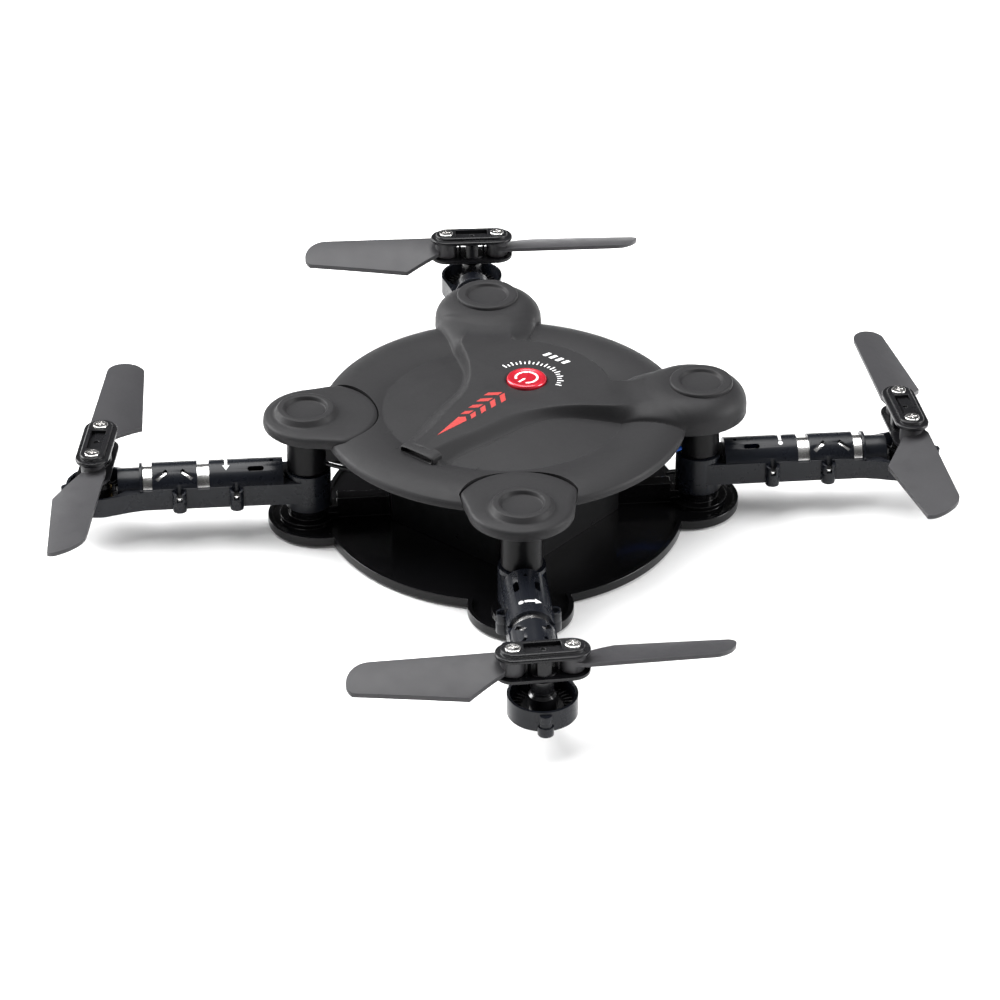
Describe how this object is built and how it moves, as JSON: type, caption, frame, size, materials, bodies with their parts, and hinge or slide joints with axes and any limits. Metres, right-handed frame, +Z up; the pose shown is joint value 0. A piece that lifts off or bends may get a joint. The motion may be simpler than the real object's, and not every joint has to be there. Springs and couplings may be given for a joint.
{
  "type": "folding palm quadcopter drone",
  "caption": "Pocket-size quadcopter with a round two-deck body, arms that fold between the decks, geared rotors and hinged blades.",
  "frame": {"origin": "centre of the flat underside, on the plane that the drone stands on", "axes": "+Z up, -Y towards the front end of the ridge, +X to the drone's left"},
  "size_m": [0.1554, 0.1602, 0.027],
  "materials": {
    "shell_matte": "soft-touch matte moulded plastic",
    "tray_gloss": "high-gloss moulded plastic",
    "frame_gloss": "gloss moulded plastic",
    "smoked_window": "smoked polished plastic",
    "board_green": "solder-masked board",
    "port_metal": "plated steel",
    "battery_foil": "laminated foil pouch",
    "lead_insulation": "extruded wire insulation",
    "screw_steel": "nickel-plated steel",
    "button_red": "metallic red lacquer",
    "arm_plastic": "semi-gloss moulded plastic",
    "motor_can": "drawn steel can",
    "pinion_metal": "machined brass",
    "gear_nylon": "moulded black nylon on a steel pin",
    "hub_plastic": "gloss moulded nylon",
    "blade_plastic": "satin moulded plastic"
  },
  "bodies": {
    "body": {"top_shell": "shell_matte", "front_post_caps": "shell_matte", "bottom_shell": "tray_gloss", "mid_frame": "frame_gloss", "nose_window": "smoked_window", "circuit_board": "board_green", "charging_port": "port_metal", "battery": "battery_foil", "battery_cover": "tray_gloss", "board_leads": "lead_insulation", "pivot_screws": "screw_steel"},
    "button": {"power_button": "button_red"},
    "arm_front_left": {"arm_upper_front_left": "arm_plastic", "arm_lower_front_left": "arm_plastic", "arm_screws_front_left": "screw_steel", "motor_front_left": "motor_can", "motor_leads_front_left": "lead_insulation"},
    "rotor_front_left": {"rotor_shaft_front_left": "gear_nylon", "hub_lower_front_left": "hub_plastic", "hub_upper_front_left": "hub_plastic", "hub_screws_front_left": "screw_steel"},
    "pinion_front_left": {"motor_pinion_front_left": "pinion_metal"},
    "blade_a_body_front_left": {"blade_a_front_left": "blade_plastic"},
    "blade_b_body_front_left": {"blade_b_front_left": "blade_plastic"},
    "arm_front_right": {"arm_upper_front_right": "arm_plastic", "arm_lower_front_right": "arm_plastic", "arm_screws_front_right": "screw_steel", "motor_front_right": "motor_can", "motor_leads_front_right": "lead_insulation"},
    "rotor_front_right": {"rotor_shaft_front_right": "gear_nylon", "hub_lower_front_right": "hub_plastic", "hub_upper_front_right": "hub_plastic", "hub_screws_front_right": "screw_steel"},
    "pinion_front_right": {"motor_pinion_front_right": "pinion_metal"},
    "blade_a_body_front_right": {"blade_a_front_right": "blade_plastic"},
    "blade_b_body_front_right": {"blade_b_front_right": "blade_plastic"},
    "arm_rear_left": {"arm_upper_rear_left": "arm_plastic", "arm_lower_rear_left": "arm_plastic", "arm_screws_rear_left": "screw_steel", "motor_rear_left": "motor_can", "motor_leads_rear_left": "lead_insulation"},
    "rotor_rear_left": {"rotor_shaft_rear_left": "gear_nylon", "hub_lower_rear_left": "hub_plastic", "hub_upper_rear_left": "hub_plastic", "hub_screws_rear_left": "screw_steel"},
    "pinion_rear_left": {"motor_pinion_rear_left": "pinion_metal"},
    "blade_a_body_rear_left": {"blade_a_rear_left": "blade_plastic"},
    "blade_b_body_rear_left": {"blade_b_rear_left": "blade_plastic"},
    "arm_rear_right": {"arm_upper_rear_right": "arm_plastic", "arm_lower_rear_right": "arm_plastic", "arm_screws_rear_right": "screw_steel", "motor_rear_right": "motor_can", "motor_leads_rear_right": "lead_insulation"},
    "rotor_rear_right": {"rotor_shaft_rear_right": "gear_nylon", "hub_lower_rear_right": "hub_plastic", "hub_upper_rear_right": "hub_plastic", "hub_screws_rear_right": "screw_steel"},
    "pinion_rear_right": {"motor_pinion_rear_right": "pinion_metal"},
    "blade_a_body_rear_right": {"blade_a_rear_right": "blade_plastic"},
    "blade_b_body_rear_right": {"blade_b_rear_right": "blade_plastic"}
  },
  "joints": [
    {"name": "power_button_press", "type": "slide", "parent": "body", "child": "button", "axis": [0, 0, -1], "range_m": [0, 0.0005], "stiffness_N_per_m": 300},
    {"name": "arm_fold_front_left", "type": "hinge", "parent": "body", "child": "arm_front_left", "pos_m": [0.02581, -0.02581, 0], "axis": [0, 0, 1], "range_deg": [0, 115]},
    {"name": "rotor_spin_front_left", "type": "hinge", "parent": "arm_front_left", "child": "rotor_front_left", "pos_m": [0.05303, -0.05303, 0], "axis": [0, 0, 1], "continuous": true},
    {"name": "motor_spin_front_left", "type": "hinge", "parent": "arm_front_left", "child": "pinion_front_left", "pos_m": [0.05303, -0.05303, 0.0097], "axis": [0.7071, -0.7071, 0], "continuous": true},
    {"name": "blade_a_fold_front_left", "type": "hinge", "parent": "rotor_front_left", "child": "blade_a_body_front_left", "pos_m": [0.05647, -0.04927, 0], "axis": [0, 0, 1], "range_deg": [0, 87.9]},
    {"name": "blade_b_fold_front_left", "type": "hinge", "parent": "rotor_front_left", "child": "blade_b_body_front_left", "pos_m": [0.04959, -0.0568, 0], "axis": [0, 0, 1], "range_deg": [-93.1, 0]},
    {"name": "arm_fold_front_right", "type": "hinge", "parent": "body", "child": "arm_front_right", "pos_m": [-0.02581, -0.02581, 0], "axis": [0, 0, 1], "range_deg": [0, 115]},
    {"name": "rotor_spin_front_right", "type": "hinge", "parent": "arm_front_right", "child": "rotor_front_right", "pos_m": [-0.05303, -0.05303, 0], "axis": [0, 0, 1], "continuous": true},
    {"name": "motor_spin_front_right", "type": "hinge", "parent": "arm_front_right", "child": "pinion_front_right", "pos_m": [-0.05303, -0.05303, 0.0097], "axis": [-0.7071, -0.7071, 0], "continuous": true},
    {"name": "blade_a_fold_front_right", "type": "hinge", "parent": "rotor_front_right", "child": "blade_a_body_front_right", "pos_m": [-0.05605, -0.04892, 0], "axis": [0, 0, 1], "range_deg": [-81.7, 0]},
    {"name": "blade_b_fold_front_right", "type": "hinge", "parent": "rotor_front_right", "child": "blade_b_body_front_right", "pos_m": [-0.05002, -0.05715, 0], "axis": [0, 0, 1], "range_deg": [0, 97.5]},
    {"name": "arm_fold_rear_left", "type": "hinge", "parent": "body", "child": "arm_rear_left", "pos_m": [0.02581, 0.02581, 0], "axis": [0, 0, 1], "range_deg": [0, 115]},
    {"name": "rotor_spin_rear_left", "type": "hinge", "parent": "arm_rear_left", "child": "rotor_rear_left", "pos_m": [0.05303, 0.05303, 0], "axis": [0, 0, 1], "continuous": true},
    {"name": "motor_spin_rear_left", "type": "hinge", "parent": "arm_rear_left", "child": "pinion_rear_left", "pos_m": [0.05303, 0.05303, 0.0097], "axis": [0.7071, 0.7071, 0], "continuous": true},
    {"name": "blade_a_fold_rear_left", "type": "hinge", "parent": "rotor_rear_left", "child": "blade_a_body_rear_left", "pos_m": [0.04917, 0.05637, 0], "axis": [0, 0, 1], "range_deg": [0, 86.3]},
    {"name": "blade_b_fold_rear_left", "type": "hinge", "parent": "rotor_rear_left", "child": "blade_b_body_rear_left", "pos_m": [0.05689, 0.0497, 0], "axis": [0, 0, 1], "range_deg": [-94.7, 0]},
    {"name": "arm_fold_rear_right", "type": "hinge", "parent": "body", "child": "arm_rear_right", "pos_m": [-0.02581, 0.02581, 0], "axis": [0, 0, 1], "range_deg": [0, 115]},
    {"name": "rotor_spin_rear_right", "type": "hinge", "parent": "arm_rear_right", "child": "rotor_rear_right", "pos_m": [-0.05303, 0.05303, 0], "axis": [0, 0, 1], "continuous": true},
    {"name": "motor_spin_rear_right", "type": "hinge", "parent": "arm_rear_right", "child": "pinion_rear_right", "pos_m": [-0.05303, 0.05303, 0.0097], "axis": [-0.7071, 0.7071, 0], "continuous": true},
    {"name": "blade_a_fold_rear_right", "type": "hinge", "parent": "rotor_rear_right", "child": "blade_a_body_rear_right", "pos_m": [-0.04934, 0.05655, 0], "axis": [0, 0, 1], "range_deg": [-89.1, 0]},
    {"name": "blade_b_fold_rear_right", "type": "hinge", "parent": "rotor_rear_right", "child": "blade_b_body_rear_right", "pos_m": [-0.05673, 0.04952, 0], "axis": [0, 0, 1], "range_deg": [0, 91.9]}
  ],
  "couplings": [
    {"joint": "motor_spin_front_left", "follows": "rotor_spin_front_left", "ratio": -3.3333},
    {"joint": "blade_a_fold_front_left", "follows": "arm_fold_front_left", "ratio": 0.76},
    {"joint": "blade_b_fold_front_left", "follows": "arm_fold_front_left", "ratio": -0.80522},
    {"joint": "motor_spin_front_right", "follows": "rotor_spin_front_right", "ratio": -3.3333},
    {"joint": "blade_a_fold_front_right", "follows": "arm_fold_front_right", "ratio": -0.70609},
    {"joint": "blade_b_fold_front_right", "follows": "arm_fold_front_right", "ratio": 0.84348},
    {"joint": "motor_spin_rear_left", "follows": "rotor_spin_rear_left", "ratio": -3.3333},
    {"joint": "blade_a_fold_rear_left", "follows": "arm_fold_rear_left", "ratio": 0.74609},
    {"joint": "blade_b_fold_rear_left", "follows": "arm_fold_rear_left", "ratio": -0.81913},
    {"joint": "motor_spin_rear_right", "follows": "rotor_spin_rear_right", "ratio": -3.3333},
    {"joint": "blade_a_fold_rear_right", "follows": "arm_fold_rear_right", "ratio": -0.77043},
    {"joint": "blade_b_fold_rear_right", "follows": "arm_fold_rear_right", "ratio": 0.79478}
  ]
}
